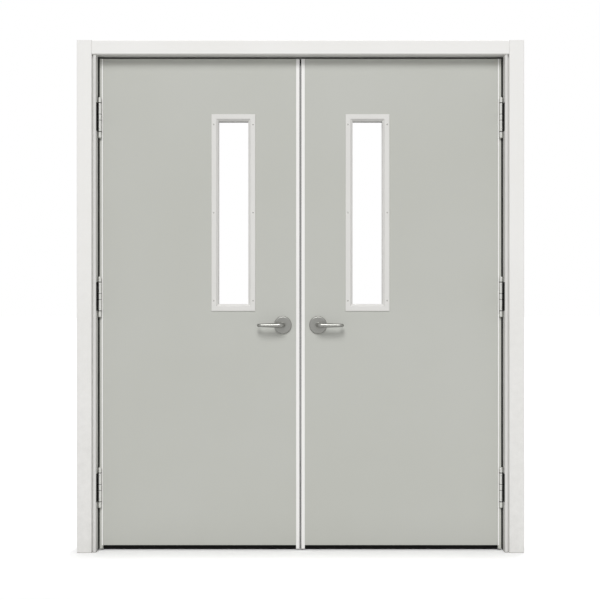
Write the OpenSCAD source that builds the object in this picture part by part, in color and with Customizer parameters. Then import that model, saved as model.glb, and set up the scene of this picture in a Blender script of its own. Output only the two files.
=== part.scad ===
// Cleanroom double door: two flush leaves with slim windows, in a folded steel frame.
// Front (hinge barrel side) faces -Y, +Z is up, floor at z = 0.
// x is measured from the left outer edge of the frame and y from its front face,
// then everything is moved so that the origin lies under the left floor anchor.

/* [Frame] */
// Overall width of the frame
frame_w = 1880; // [1600:10:2200]
// Overall height of the frame
frame_h = 2155; // [2000:5:2400]
// Depth of the frame behind the stop face
stop_d = 29.5; // [26:0.5:60]
// Thickness of the folded steel sheet
sheet_t = 2; // [1.5:0.5:3]
// Centreline radius of the folds
fold_r = 3; // [2:0.5:4]
// Face width of the jamb casings at the front
casing_w = 63; // [55:1:80]
// Face width of the head casing, front and rear
head_casing_w = 59; // [50:1:75]
// Depth of the casings in front of the wall and behind it
casing_lap = 15; // [13:1:20]
// Open groove between a casing and the nose of the jamb
groove_w = 4.2; // [3:0.1:6]
// Width of the jamb nose beside the groove
nose_w = 13; // [10:1:20]
// How far the nose lies behind the casing face
nose_set = 6; // [4:1:7]
// Distance from the frame edge to the open wall side of the jamb
wall_side = 36; // [30:1:45]
// How far the stop reaches past the reveal
stop_w = 24; // [18:1:30]
// Joint line between a jamb casing and the head casing
casing_joint = 0.4; // [0.2:0.1:1]

/* [Leaves] */
// Depth of the leaf face behind the frame face
leaf_set = 50; // [40:1:60]
// Thickness of a leaf over its stiles
leaf_t = 45; // [40:1:50]
// How far the skins lie behind the stile faces
skin_step = 1; // [0.5:0.5:2]
// Gap between the reveal and the hinge stile
leaf_gap = 6.5; // [5:0.5:7]
// Gap between the two leaves
meeting_gap = 7; // [7:0.5:9]
// Gap between the head and the leaves
head_gap = 9; // [6:0.5:12]
// Gap between the leaf back and the stop
stop_gap = 5.5; // [5:0.5:8]
// Height of the stile ends above the floor
stile_foot = 7; // [5:1:12]
// Height of the panel above the floor
panel_foot = 22; // [16:1:30]
// Face width of the aluminium stiles
stile_w = 15; // [12:1:22]
// Flange thickness of the stiles
stile_flange = 3; // [2:0.5:3.5]
// Depth of the panel tongue inside a stile
tongue = 8; // [5:1:9]
// Corner radius of the stiles
stile_r = 2.5; // [1:0.5:3]
// Fitting gap between stile and panel
panel_fit = 0.2; // [0.1:0.1:0.5]

/* [Seals] */
// Width of the stop seal
seal_w = 15; // [12:1:16]
// Clearance of the stop seal from the fold beside it
seal_clear = 0.2; // [0.1:0.1:0.5]
// Distance from the leaf edge to the middle of the seal bulb
seal_bulb_in = 6; // [4:0.5:8]
// How far the bulb stays short of the leaf
seal_short = 0.5; // [0.3:0.1:1]
// Base thickness of the stop seal
seal_base = 2; // [1.5:0.5:3]
// Bulb radius of the stop seal
seal_bulb_r = 2.5; // [2:0.1:2.5]
// How far each meeting seal reaches into the gap
meet_seal_out = 3; // [2:0.1:3]
// Width of the meeting seal
meet_seal_w = 8; // [6:1:10]
// Depth of the groove that holds the meeting seal
meet_groove = 3; // [2:0.5:3]
// Distance from the stile face to the meeting seal groove
meet_seal_set = 4; // [3:1:8]
// Shoulder of the meeting seal beside its groove
meet_shoulder = 1; // [0.5:0.5:2]
// Thickness of the drop seal
drop_t = 12; // [8:1:16]
// Height of the drop seal above the floor
drop_foot = 2; // [1:0.5:5]
// How far the drop seal sits up in the panel
drop_in = 12; // [8:1:20]

/* [Windows] */
// Outer width of the window rims
rim_w = 186; // [150:1:300]
// Outer height of the window rims
rim_h = 836; // [500:1:900]
// Flat face of the rim
rim_flat = 20; // [15:1:30]
// Width of the sloping lip of the rim
rim_slope = 10; // [4:1:12]
// How far the rim stands proud of the skin
rim_proud = 4; // [3:0.5:6]
// Depth of the lip behind the skin
rim_deep = 8; // [6:0.5:10]
// Edge thickness of the lip
rim_edge = 2; // [1.5:0.5:3]
// Outer chamfer of the rim
rim_chamfer = 1; // [0.5:0.5:2]
// Play of the lip in the panel opening
rim_fit = 0.5; // [0.3:0.1:1]
// Rim overlap on the skin
rim_lap = 18; // [14:1:20]
// Distance from the window centre to the frame centreline
window_x = 284.7; // [250:1:500]
// Distance from the top of the leaf down to the window rim
window_drop = 235; // [150:1:400]
// Overlap of the mitred rim members
mitre_lap = 0.02; // [0.01:0.01:0.05]
// Thickness of each pane
pane_t = 5; // [4:1:8]
// How far a pane reaches behind the lip
pane_lap = 9; // [6:1:10]

/* [Hinges] */
// Distance from the frame edge to the hinge axis
pivot_x = 89; // [88:0.5:92]
// Distance from the leaf face forward to the hinge axis
pivot_out = 9.5; // [9:0.5:14]
// Radius of the hinge barrels
barrel_r = 8.5; // [7:0.1:8.5]
// Radius of the hinge pin
pin_r = 5; // [3:0.5:6]
// Running clearance between pin and knuckle
pin_clear = 0.05; // [0.02:0.01:0.1]
// Height of the middle knuckle
knuckle_mid = 26.6; // [20:0.2:40]
// Height of the outer knuckles
knuckle_out = 46; // [30:1:60]
// Gap between knuckles
knuckle_gap = 1.2; // [0.2:0.1:2]
// Groove between a knuckle and its cap
cap_gap = 1.6; // [0.6:0.2:3]
// Height of the upper hinge cap
cap_top = 23; // [15:1:30]
// Height of the lower hinge cap
cap_low = 28; // [20:1:35]
// Thickness of the frame wing
wing_t = 5; // [3:0.5:5]
// Thickness of the leaf plate
leaf_plate_t = 3; // [2:0.5:3]
// Reduction in radius from the knuckles to the caps
cap_step = 0.6; // [0.4:0.1:1]
// Edge radius of the upper cap
cap_round = 2; // [1:0.5:3]
// Clearance of the wing from the middle knuckle
wing_clear = 1.5; // [1:0.5:3]
// How far the wing plate lies on the reveal behind its slot
wing_seat = 10; // [6:1:20]
// Play of the wing in its slot
slot_play = 1; // [0.5:0.5:2]
// How far the hinge slot reaches behind the leaf face
slot_behind = 12; // [6:1:20]
// Depth of the leaf plate in the stile
leaf_plate_d = 40; // [30:1:42]
// Distance from the top of the frame down to the top hinge centre
hinge_top_drop = 318; // [250:1:450]
// How far the middle hinge lies above the mean of the other two
hinge_mid_rise = 24.5; // [-100:0.5:300]
// Height of the bottom hinge centre
hinge_low_z = 270; // [200:1:350]

/* [Levers] */
// Height of the lever axis
lever_z = 957; // [900:1:1050]
// Distance from the lever axis to the frame centreline
lever_x = 75; // [60:1:90]
// Radius of the lever bar
lever_r = 8.5; // [7:0.5:10]
// Distance from the leaf skin to the lever bar axis
lever_out = 50; // [45:1:60]
// Distance from the lever axis to the outermost point of the lever
lever_len = 108; // [100:1:140]
// Radius of the elbow at the neck
elbow_r = 16; // [12:1:20]
// Radius of the bend at the free end
end_r = 12; // [10:1:16]
// Straight length after the end bend
end_stub = 9; // [4:1:12]
// Radius of the roses
rose_r = 37.5; // [25:0.5:40]
// Thickness of the roses
rose_t = 9; // [6:0.5:12]
// Shoulder radius of the roses
rose_round = 5; // [2:0.5:6]
// Running clearance of the lever neck in the rose
neck_clear = 0.08; // [0.05:0.01:0.1]
// Side of the square spindle
spindle = 8; // [7:1:9]
// Radius of the spindle hole in the panel
spindle_hole_r = 10; // [8:1:12]

/* [Floor anchors] */
// Thickness of the anchor plates
anchor_t = 4; // [3:1:6]
// Height of the anchor upstand
anchor_h = 80; // [40:5:120]
// Radius of the anchor bolt holes
anchor_hole_r = 5.5; // [4:0.5:7]
// Distance between the two anchor bolts
anchor_pitch = 40; // [30:1:45]

/* [Hidden] */
$fn = 48;
frame_d = leaf_set + leaf_t + stop_gap + stop_d;
half_t = sheet_t / 2;
centre_x = frame_w / 2;
reveal_x = casing_w + groove_w + nose_w;
stop_x = reveal_x + stop_w;
head_stop = head_casing_w + stop_w;
leaf_back = leaf_set + leaf_t;
stop_y = leaf_back + stop_gap;
seal_in = fold_r - half_t + seal_clear;
rear_nose_y = frame_d - nose_set;
rear_seat = frame_d - casing_lap;
rear_casing_w = stop_x - nose_w - groove_w;
soffit_z = frame_h - head_casing_w;
leaf_x0 = reveal_x + leaf_gap;
leaf_x1 = centre_x - meeting_gap / 2;
leaf_top = soffit_z - head_gap;
skin_front = leaf_set + skin_step;
skin_back = leaf_back - skin_step;
leaf_mid = leaf_set + leaf_t / 2;
pivot_y = leaf_set - pivot_out;
hinge_half = knuckle_mid / 2 + knuckle_out;
hinge_top_z = frame_h - hinge_top_drop;
hinge_mid_z = (hinge_top_z + hinge_low_z) / 2 + hinge_mid_rise;
window_z = leaf_top - window_drop - rim_h / 2;
hinge_zs = [hinge_top_z, hinge_mid_z, hinge_low_z];
sight_w = rim_w - 2 * (rim_flat + rim_slope);
sight_h = rim_h - 2 * (rim_flat + rim_slope);
cut_w = rim_w - 2 * rim_lap;
cut_h = rim_h - 2 * rim_lap;
window_cx = centre_x - window_x;
lever_cx = centre_x - lever_x;
anchor_x0 = wall_side - 2;
anchor_x1 = reveal_x - sheet_t;
anchor_y0 = casing_lap + sheet_t;
anchor_y1 = rear_seat - sheet_t;
origin_x = (anchor_x0 + anchor_x1) / 2;
origin_y = (anchor_y0 + anchor_y1) / 2;
white = [0.93, 0.93, 0.92];
leaf_grey = [0.75, 0.75, 0.73];
rim_grey = [0.86, 0.86, 0.84];
steel = [0.66, 0.66, 0.65];
black = [0.06, 0.06, 0.06];
seal_grey = [0.55, 0.55, 0.54];
glass = [0.8, 0.9, 0.9, 0.35];

module place() {
    translate([-origin_x, -origin_y, 0]) children();
}

// A piece of the left half, and the same piece on the right half.
module on_left() {
    place() children();
}

module on_right() {
    place() translate([frame_w, 0, 0]) mirror([1, 0, 0]) children();
}

// One fold of a sheet at a right angle: a quarter ring at corner v.
module fold_corner(v, to_prev, to_next, t, r) {
    c = v + r * (to_prev + to_next);
    s = r + t;
    intersection() {
        translate(c) difference() {
            circle(r = r + t / 2);
            circle(r = r - t / 2);
        }
        translate(c) polygon([[0, 0], -s * to_prev, -s * (to_prev + to_next), -s * to_next]);
    }
}

// Section of a folded sheet: straight flats along the path, quarter rings at its corners.
module folded(path, t = sheet_t, r = fold_r) {
    last = len(path) - 1;
    for (i = [0 : last - 1]) {
        a = path[i];
        b = path[i + 1];
        d = (b - a) / norm(b - a);
        cut_a = i == 0 ? 0 : r;
        cut_b = i == last - 1 ? 0 : r;
        translate(a + cut_a * d) rotate(atan2(d[1], d[0])) translate([0, -t / 2])
            square([norm(b - a) - cut_a - cut_b, t]);
    }
    for (i = [1 : last - 1]) {
        to_prev = (path[i - 1] - path[i]) / norm(path[i - 1] - path[i]);
        to_next = (path[i + 1] - path[i]) / norm(path[i + 1] - path[i]);
        fold_corner(path[i], to_prev, to_next, t, r);
    }
}

// Sections are drawn with u inward from the frame edge and v back from the frame face.
module casing_front_section(w) {
    folded([[half_t, casing_lap], [half_t, half_t], [w - half_t, half_t],
        [w - half_t, casing_lap]]);
}

module casing_rear_section(w) {
    folded([[half_t, rear_seat], [half_t, frame_d - half_t],
        [w - half_t, frame_d - half_t], [w - half_t, rear_seat]]);
}

module jamb_section() {
    folded([[wall_side, casing_lap + half_t],
        [casing_w + groove_w + half_t, casing_lap + half_t],
        [casing_w + groove_w + half_t, nose_set + half_t],
        [reveal_x - half_t, nose_set + half_t],
        [reveal_x - half_t, stop_y + half_t],
        [stop_x - half_t, stop_y + half_t],
        [stop_x - half_t, rear_nose_y - half_t],
        [rear_casing_w + groove_w + half_t, rear_nose_y - half_t],
        [rear_casing_w + groove_w + half_t, rear_seat - half_t],
        [wall_side, rear_seat - half_t]]);
}

module head_section() {
    folded([[wall_side, casing_lap + half_t],
        [head_casing_w - half_t, casing_lap + half_t],
        [head_casing_w - half_t, stop_y + half_t],
        [head_stop - half_t, stop_y + half_t],
        [head_stop - half_t, rear_nose_y - half_t],
        [head_casing_w + groove_w + half_t, rear_nose_y - half_t],
        [head_casing_w + groove_w + half_t, rear_seat - half_t],
        [wall_side, rear_seat - half_t]]);
}

// Runs a section along the head: u points down from the top edge.
module along_head(x0, x1) {
    translate([x0, 0, frame_h]) rotate([0, 90, 0]) linear_extrude(x1 - x0) children();
}

module jamb() {
    color(white) difference() {
        linear_extrude(soffit_z) jamb_section();
        for (z = hinge_zs)
            translate([reveal_x - 2 * sheet_t, nose_set + 2 * sheet_t, z - hinge_half - slot_play])
                cube([3 * sheet_t, leaf_set + slot_behind - nose_set - 2 * sheet_t,
                    2 * (hinge_half + slot_play)]);
    }
}

module jamb_left() { on_left() jamb(); }
module jamb_right() { on_right() jamb(); }

module head() {
    place() color(white) difference() {
        along_head(wall_side, frame_w - wall_side) head_section();
        for (x = [wall_side - 1, frame_w - stop_x])
            translate([x, 0, soffit_z - stop_w - 1])
                cube([stop_x - wall_side + 1, frame_d, stop_w + 1]);
    }
}

module casing_front_jamb() {
    color(white) {
        linear_extrude(frame_h) casing_front_section(casing_w);
        translate([half_t, half_t, frame_h - sheet_t])
            cube([casing_w - sheet_t, casing_lap - half_t, sheet_t]);
    }
}

module casing_rear_jamb() {
    color(white) {
        linear_extrude(frame_h) casing_rear_section(rear_casing_w);
        translate([half_t, rear_seat, frame_h - sheet_t])
            cube([rear_casing_w - sheet_t, casing_lap - half_t, sheet_t]);
    }
}

module casing_front_left() { on_left() casing_front_jamb(); }
module casing_front_right() { on_right() casing_front_jamb(); }
module casing_rear_left() { on_left() casing_rear_jamb(); }
module casing_rear_right() { on_right() casing_rear_jamb(); }

module casing_front_head() {
    place() color(white)
        along_head(casing_w + casing_joint, frame_w - casing_w - casing_joint)
            casing_front_section(head_casing_w);
}

module casing_rear_head() {
    place() color(white)
        along_head(rear_casing_w + casing_joint, frame_w - rear_casing_w - casing_joint)
            casing_rear_section(head_casing_w);
}

// Stop seal: a flat base on the stop with a round bulb towards the leaf.
module seal_section(u0, bulb) {
    translate([u0, stop_y - seal_base]) square([seal_w, seal_base]);
    intersection() {
        translate([bulb, leaf_back + seal_short + seal_bulb_r]) circle(r = seal_bulb_r);
        translate([bulb - seal_bulb_r, leaf_back]) square([2 * seal_bulb_r, stop_gap]);
    }
}

module jamb_seal() {
    translate([0, 0, drop_foot])
        linear_extrude(soffit_z - seal_in - seal_w - drop_foot)
            seal_section(reveal_x + seal_in, leaf_x0 + seal_bulb_in);
}

module frame_seal() {
    place() color(black) {
        jamb_seal();
        translate([frame_w, 0, 0]) mirror([1, 0, 0]) jamb_seal();
        along_head(reveal_x + seal_in, frame_w - reveal_x - seal_in)
            seal_section(head_casing_w + seal_in, head_casing_w + head_gap + seal_bulb_in);
    }
}

// Angle plate inside the jamb foot, with two holes for floor bolts.
module floor_anchor() {
    color(steel) difference() {
        union() {
            translate([anchor_x0, anchor_y0, 0])
                cube([anchor_x1 - anchor_x0, anchor_y1 - anchor_y0, anchor_t]);
            translate([anchor_x1 - anchor_t, anchor_y0, 0])
                cube([anchor_t, anchor_y1 - anchor_y0, anchor_h]);
        }
        for (s = [-1, 1])
            translate([origin_x, origin_y + s * anchor_pitch / 2, -1])
                cylinder(r = anchor_hole_r, h = anchor_t + 2);
    }
}

module floor_anchor_left() { on_left() floor_anchor(); }
module floor_anchor_right() { on_right() floor_anchor(); }

// Frame half of a hinge: wing, two outer knuckles, pin and caps in one forging.
module hinge_frame(z) {
    mid = knuckle_mid / 2;
    cap_r = barrel_r - cap_step;
    cap_z = hinge_half + cap_gap;
    wing_x = reveal_x - sheet_t - wing_t;
    wing_y = pivot_y + barrel_r - wing_t;
    color(steel) translate([0, 0, z]) {
        translate([pivot_x, pivot_y, 0]) rotate_extrude() {
            translate([0, -cap_z - 1]) square([pin_r, 2 * (cap_z + 1)]);
            translate([0, mid]) square([barrel_r, knuckle_out]);
            translate([0, -hinge_half]) square([barrel_r, knuckle_out]);
            translate([0, cap_z]) square([cap_r, cap_top - cap_round]);
            translate([0, cap_z]) square([cap_r - cap_round, cap_top]);
            translate([cap_r - cap_round, cap_z + cap_top - cap_round]) circle(r = cap_round);
            translate([0, cap_r - cap_z - cap_low]) square([cap_r, cap_low - cap_r]);
            intersection() {
                translate([0, cap_r - cap_z - cap_low]) circle(r = cap_r);
                translate([0, -cap_z - cap_low]) square([cap_r, cap_low]);
            }
        }
        difference() {
            translate([wing_x, wing_y, -hinge_half])
                cube([pivot_x - wing_x, wing_t, 2 * hinge_half]);
            translate([pivot_x - barrel_r - wing_clear, 0, -mid])
                cube([2 * (barrel_r + wing_clear), frame_d, knuckle_mid]);
        }
        translate([wing_x, wing_y, -hinge_half])
            cube([wing_t, leaf_set + slot_behind + wing_seat - wing_y, 2 * hinge_half]);
    }
}

// Leaf half of a hinge: bored middle knuckle with a plate let into the stile edge.
module hinge_leaf(z) {
    mid = knuckle_mid / 2 - knuckle_gap;
    color(steel) translate([0, 0, z]) difference() {
        union() {
            translate([pivot_x, pivot_y, -mid]) cylinder(r = barrel_r, h = 2 * mid);
            translate([leaf_x0, pivot_y, -mid])
                cube([leaf_plate_t, leaf_set - pivot_y + 1, 2 * mid]);
            translate([leaf_x0, leaf_set, -hinge_half])
                cube([leaf_plate_t, leaf_plate_d, 2 * hinge_half]);
        }
        translate([pivot_x, pivot_y, -hinge_half])
            cylinder(r = pin_r + pin_clear, h = 2 * hinge_half);
    }
}

module hinge_frame_left_top() { on_left() hinge_frame(hinge_top_z); }
module hinge_frame_left_middle() { on_left() hinge_frame(hinge_mid_z); }
module hinge_frame_left_bottom() { on_left() hinge_frame(hinge_low_z); }
module hinge_frame_right_top() { on_right() hinge_frame(hinge_top_z); }
module hinge_frame_right_middle() { on_right() hinge_frame(hinge_mid_z); }
module hinge_frame_right_bottom() { on_right() hinge_frame(hinge_low_z); }
module hinge_leaf_left_top() { on_left() hinge_leaf(hinge_top_z); }
module hinge_leaf_left_middle() { on_left() hinge_leaf(hinge_mid_z); }
module hinge_leaf_left_bottom() { on_left() hinge_leaf(hinge_low_z); }
module hinge_leaf_right_top() { on_right() hinge_leaf(hinge_top_z); }
module hinge_leaf_right_middle() { on_right() hinge_leaf(hinge_mid_z); }
module hinge_leaf_right_bottom() { on_right() hinge_leaf(hinge_low_z); }

// Channel-shaped aluminium edge profile, u from the leaf edge inward.
module stile_section() {
    difference() {
        union() {
            translate([stile_r, leaf_set]) square([stile_w - stile_r, leaf_t]);
            translate([0, leaf_set + stile_r]) square([stile_r + 1, leaf_t - 2 * stile_r]);
            for (y = [leaf_set + stile_r, leaf_back - stile_r])
                translate([stile_r, y]) circle(r = stile_r);
        }
        translate([stile_w - tongue, leaf_set + stile_flange])
            square([tongue + 1, leaf_t - 2 * stile_flange]);
    }
}

module hinge_stile() {
    color(white) difference() {
        translate([leaf_x0, 0, stile_foot]) linear_extrude(leaf_top - stile_foot) stile_section();
        for (z = hinge_zs)
            translate([leaf_x0 - 1, leaf_set - 1, z - hinge_half])
                cube([leaf_plate_t + 1, leaf_plate_d + 1, 2 * hinge_half]);
    }
}

module meeting_stile() {
    color(white) difference() {
        translate([leaf_x1, 0, stile_foot]) mirror([1, 0, 0])
            linear_extrude(leaf_top - stile_foot) stile_section();
        translate([leaf_x1 - meet_groove, leaf_set + meet_seal_set, stile_foot - 1])
            cube([meet_groove + 1, meet_seal_w - 2 * meet_shoulder, leaf_top]);
    }
}

module meeting_seal() {
    foot_w = meet_seal_w - 2 * meet_shoulder;
    bulb_r = meet_seal_w / 2;
    color(seal_grey) translate([leaf_x1, leaf_set + meet_seal_set + foot_w / 2, stile_foot])
        linear_extrude(leaf_top - stile_foot) {
            translate([-meet_groove, -foot_w / 2]) square([meet_groove, foot_w]);
            intersection() {
                translate([meet_seal_out - bulb_r, 0]) circle(r = bulb_r);
                translate([0, -bulb_r]) square([meet_seal_out, meet_seal_w]);
            }
        }
}

module hinge_stile_left() { on_left() hinge_stile(); }
module hinge_stile_right() { on_right() hinge_stile(); }
module meeting_stile_left() { on_left() meeting_stile(); }
module meeting_stile_right() { on_right() meeting_stile(); }
module meeting_seal_left() { on_left() meeting_seal(); }
module meeting_seal_right() { on_right() meeting_seal(); }

// Flush panel with a tongue along each stile, a window opening, a seal groove and a lever hole.
module leaf_panel() {
    x0 = leaf_x0 + stile_w + panel_fit;
    x1 = leaf_x1 - stile_w - panel_fit;
    tongue_in = tongue - panel_fit;
    color(leaf_grey) difference() {
        union() {
            translate([x0, skin_front, panel_foot])
                cube([x1 - x0, skin_back - skin_front, leaf_top - panel_foot]);
            translate([x0 - tongue_in, leaf_set + stile_flange, panel_foot])
                cube([x1 - x0 + 2 * tongue_in, leaf_t - 2 * stile_flange, leaf_top - panel_foot]);
        }
        translate([window_cx - cut_w / 2, 0, window_z - cut_h / 2])
            cube([cut_w, frame_d, cut_h]);
        translate([x0 - stile_w, leaf_mid - drop_t / 2 - panel_fit, 0])
            cube([x1 - x0 + 2 * stile_w, drop_t + 2 * panel_fit, panel_foot + drop_in]);
        translate([lever_cx, 0, lever_z]) rotate([-90, 0, 0])
            cylinder(r = spindle_hole_r, h = frame_d);
    }
}

module leaf_panel_left() { on_left() leaf_panel(); }
module leaf_panel_right() { on_right() leaf_panel(); }

module drop_seal() {
    x0 = leaf_x0 + stile_w + panel_fit;
    x1 = leaf_x1 - stile_w - panel_fit;
    color(black) translate([x0, leaf_mid - drop_t / 2, drop_foot])
        cube([x1 - x0, drop_t, panel_foot + drop_in - drop_foot]);
}

module drop_seal_left() { on_left() drop_seal(); }
module drop_seal_right() { on_right() drop_seal(); }

// Section of a window rim: u outward from the sight edge, v back from the rim face.
module rim_section() {
    full = rim_flat + rim_slope;
    deep = rim_proud + rim_deep;
    inner = full - rim_lap - rim_fit;
    polygon([[0, deep - rim_edge], [rim_slope, 0], [full - rim_chamfer, 0], [full, rim_chamfer],
        [full, rim_proud], [inner, rim_proud], [inner, deep], [0, deep]]);
}

// One rim member of length len, mitred at both ends, its sight edge on the x axis.
module rim_member(len) {
    full = rim_flat + rim_slope;
    half = len / 2 + mitre_lap;
    intersection() {
        translate([-len / 2 - full, 0, 0]) rotate([0, 90, 0]) rotate([0, 0, 180])
            linear_extrude(len + 2 * full) mirror([0, 1]) rim_section();
        rotate([-90, 0, 0]) linear_extrude(rim_proud + rim_deep)
            polygon([[-half, 0], [half, 0], [half + full, -full], [-half - full, -full]]);
    }
}

module window_rim() {
    color(rim_grey) for (a = [0, 90, 180, 270])
        rotate([0, a, 0])
            translate([0, 0, (a % 180 == 0 ? sight_h : sight_w) / 2])
                rim_member(a % 180 == 0 ? sight_w : sight_h);
}

module window_rim_front() {
    translate([window_cx, skin_front - rim_proud, window_z]) window_rim();
}

module window_rim_rear() {
    translate([window_cx, skin_back + rim_proud, window_z]) mirror([0, 1, 0]) window_rim();
}

module window_glass() {
    pane_w = sight_w + 2 * pane_lap;
    pane_h = sight_h + 2 * pane_lap;
    color(glass) for (y = [skin_front + rim_deep, skin_back - rim_deep - pane_t])
        translate([window_cx - pane_w / 2, y, window_z - pane_h / 2])
            cube([pane_w, pane_t, pane_h]);
}

module window_rim_front_left() { on_left() window_rim_front(); }
module window_rim_front_right() { on_right() window_rim_front(); }
module window_rim_rear_left() { on_left() window_rim_rear(); }
module window_rim_rear_right() { on_right() window_rim_rear(); }
module window_glass_left() { on_left() window_glass(); }
module window_glass_right() { on_right() window_glass(); }

// Front piece at the leaf face, and its copy on the back of the leaf.
module both_faces() {
    children();
    translate([0, 2 * leaf_mid, 0]) mirror([0, 1, 0]) children();
}

module lever_roses() {
    color(steel) both_faces()
        translate([lever_cx, skin_front, lever_z]) rotate([90, 0, 0]) rotate_extrude()
            difference() {
                union() {
                    square([rose_r, rose_t - rose_round]);
                    square([rose_r - rose_round, rose_t]);
                    translate([rose_r - rose_round, rose_t - rose_round]) circle(r = rose_round);
                }
                translate([0, -rose_t]) square([rose_r, rose_t]);
                translate([0, -1]) square([lever_r + neck_clear, rose_t + 2]);
            }
}

// Lever: neck, elbow, grip and an end turned back to the leaf, on both faces, with one spindle.
module lever_handle() {
    grip_y = skin_front - lever_out;
    end_x = lever_len - lever_r;
    color(steel) translate([lever_cx, 0, lever_z]) {
        both_faces() {
            translate([0, grip_y + elbow_r, 0]) rotate([-90, 0, 0])
                cylinder(r = lever_r, h = lever_out - elbow_r - 0.5);
            translate([-elbow_r, grip_y + elbow_r, 0]) rotate([0, 0, -90])
                rotate_extrude(angle = 90) translate([elbow_r, 0]) circle(r = lever_r);
            translate([-elbow_r, grip_y, 0]) rotate([0, -90, 0])
                cylinder(r = lever_r, h = end_x - end_r - elbow_r);
            translate([-end_x + end_r, grip_y + end_r, 0]) rotate([0, 0, 180])
                rotate_extrude(angle = 90) translate([end_r, 0]) circle(r = lever_r);
            translate([-end_x, grip_y + end_r, 0]) rotate([-90, 0, 0])
                cylinder(r = lever_r, h = end_stub);
        }
        translate([-spindle / 2, skin_front - 1, -spindle / 2])
            cube([spindle, skin_back - skin_front + 2, spindle]);
    }
}

module lever_roses_left() { on_left() lever_roses(); }
module lever_roses_right() { on_right() lever_roses(); }
module lever_handle_left() { on_left() lever_handle(); }
module lever_handle_right() { on_right() lever_handle(); }

jamb_left();
jamb_right();
head();
casing_front_left();
casing_front_right();
casing_front_head();
casing_rear_left();
casing_rear_right();
casing_rear_head();
frame_seal();
floor_anchor_left();
floor_anchor_right();
hinge_frame_left_top();
hinge_frame_left_middle();
hinge_frame_left_bottom();
hinge_frame_right_top();
hinge_frame_right_middle();
hinge_frame_right_bottom();
leaf_panel_left();
leaf_panel_right();
hinge_stile_left();
hinge_stile_right();
meeting_stile_left();
meeting_stile_right();
meeting_seal_left();
meeting_seal_right();
drop_seal_left();
drop_seal_right();
window_glass_left();
window_glass_right();
window_rim_front_left();
window_rim_front_right();
window_rim_rear_left();
window_rim_rear_right();
lever_roses_left();
lever_roses_right();
lever_handle_left();
lever_handle_right();
hinge_leaf_left_top();
hinge_leaf_left_middle();
hinge_leaf_left_bottom();
hinge_leaf_right_top();
hinge_leaf_right_middle();
hinge_leaf_right_bottom();
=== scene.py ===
"""Looks of a cleanroom double door: coated steel frame, flush leaves, slim windows, satin fittings."""

from __future__ import annotations

import logging
import math
from dataclasses import dataclass
from enum import Enum

import bmesh
import bpy
import numpy as np
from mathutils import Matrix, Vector

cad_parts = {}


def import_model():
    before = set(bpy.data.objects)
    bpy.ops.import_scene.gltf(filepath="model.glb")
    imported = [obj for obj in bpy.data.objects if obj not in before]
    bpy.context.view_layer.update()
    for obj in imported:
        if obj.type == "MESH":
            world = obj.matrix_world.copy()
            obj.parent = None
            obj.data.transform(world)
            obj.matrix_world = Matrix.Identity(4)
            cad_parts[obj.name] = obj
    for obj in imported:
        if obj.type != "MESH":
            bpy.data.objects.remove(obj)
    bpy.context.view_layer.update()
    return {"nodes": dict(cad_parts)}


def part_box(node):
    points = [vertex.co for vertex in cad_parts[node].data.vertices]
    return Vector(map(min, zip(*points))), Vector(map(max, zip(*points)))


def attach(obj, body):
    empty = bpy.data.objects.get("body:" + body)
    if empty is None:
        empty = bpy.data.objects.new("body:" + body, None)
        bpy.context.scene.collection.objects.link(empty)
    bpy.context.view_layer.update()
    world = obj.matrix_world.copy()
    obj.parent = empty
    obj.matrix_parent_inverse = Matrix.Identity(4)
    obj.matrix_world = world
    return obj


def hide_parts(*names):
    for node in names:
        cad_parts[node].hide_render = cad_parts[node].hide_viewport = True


LOG = logging.getLogger("cleanroom_door")
MM = 0.001
LEVELS = ("top", "middle", "bottom")
IMAGE_PX = 600
MM_PER_PX = 4.2
CAMERA_BACK = 4.5
DOOR_MID_PX = 300.45
DOOR_TOP_PX = 40.0
SENSOR_MM = 36.0
ROUND_STEPS = 48
BEND_STEPS = 13
GRIP_STEPS = 26
# Rounded tip of the lever: how far along the stub each ring is, and its share of the radius.
TIP_PLACES = (0.4, 0.8, 0.93, 1.0, 1.0)
TIP_SHARES = (1.0, 1.0, 0.95, 0.8, 1e-4)


class Side(Enum):
    """The half of the door a piece belongs to; the value is the sign of x from the centreline."""

    LEFT = -1
    RIGHT = 1

    @property
    def word(self) -> str:
        """The word used in node names."""
        return self.name.lower()


class Face(Enum):
    """The face of a leaf a piece sits on; the value is the sign of the outward normal along y."""

    FRONT = -1
    REAR = 1


def linear(hex_colour: str) -> tuple[float, float, float, float]:
    """Turns an sRGB hex value into linear colour.

    Args:
        hex_colour: six hex digits with a leading hash.

    Returns:
        Red, green, blue and alpha for a shader socket.
    """
    parts = [int(hex_colour[i : i + 2], 16) / 255 for i in (1, 3, 5)]
    out = [p / 12.92 if p <= 0.04045 else ((p + 0.055) / 1.055) ** 2.4 for p in parts]
    return out[0], out[1], out[2], 1.0


def add_node(
    tree: bpy.types.NodeTree,
    kind: str,
    settings: dict[str, object] | None = None,
    values: dict[str, object] | None = None,
    links: dict[str, bpy.types.NodeSocket] | None = None,
) -> bpy.types.Node:
    """Adds one node with its settings, socket values and incoming links.

    Args:
        tree: node tree that gets the node.
        kind: Blender's node type name.
        settings: attributes of the node.
        values: input socket name to default value.
        links: input socket name to the output socket that feeds it.

    Returns:
        The new node.
    """
    node = tree.nodes.new(kind)
    for name, value in (settings or {}).items():
        setattr(node, name, value)
    for name, value in (values or {}).items():
        node.inputs[name].default_value = value
    for name, socket in (links or {}).items():
        tree.links.new(socket, node.inputs[name])
    return node


def new_tree(name: str) -> tuple[bpy.types.Material, bpy.types.NodeTree, bpy.types.Node]:
    """Makes an empty node material.

    Args:
        name: material name.

    Returns:
        The material, its tree and its output node.
    """
    material = bpy.data.materials.new(name)
    material.use_nodes = True
    tree = material.node_tree
    tree.nodes.clear()
    return material, tree, add_node(tree, "ShaderNodeOutputMaterial")


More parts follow.
